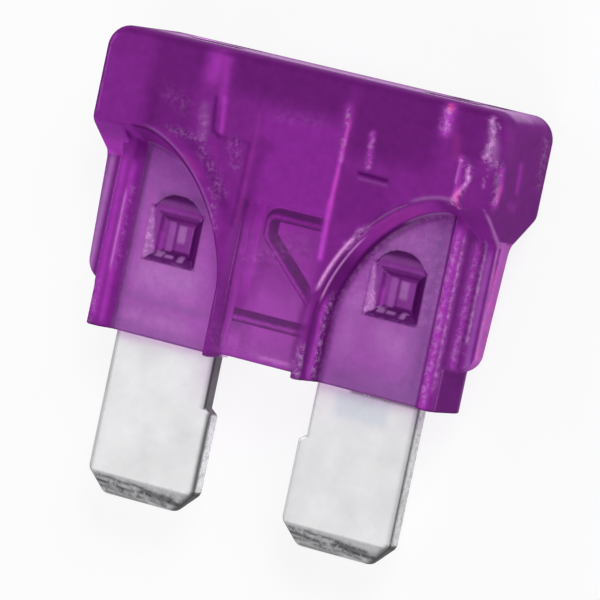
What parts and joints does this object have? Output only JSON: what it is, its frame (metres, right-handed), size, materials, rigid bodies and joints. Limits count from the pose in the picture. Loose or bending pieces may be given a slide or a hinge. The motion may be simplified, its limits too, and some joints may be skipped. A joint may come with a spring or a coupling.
{
  "type": "blade fuse",
  "caption": "Plug-in blade fuse for vehicles: flat translucent plastic housing, parallel flat metal blades and a thin link in view.",
  "frame": {"origin": "middle of the fuse's overall bounding box, on the surface that its back face lies on", "axes": "+X across the blades to the right, +Y from the blade tips to the cap, +Z out of the front face"},
  "size_m": [0.0188, 0.019, 0.0045],
  "materials": {
    "violet_plastic": "glossy translucent violet moulding, with light scuffs on its edges",
    "zinc_strip": "satin light grey zinc sheet, with rough coined blade tips"
  },
  "bodies": {
    "root": {"housing": "violet_plastic", "fuse_strip": "zinc_strip"}
  },
  "joints": []
}
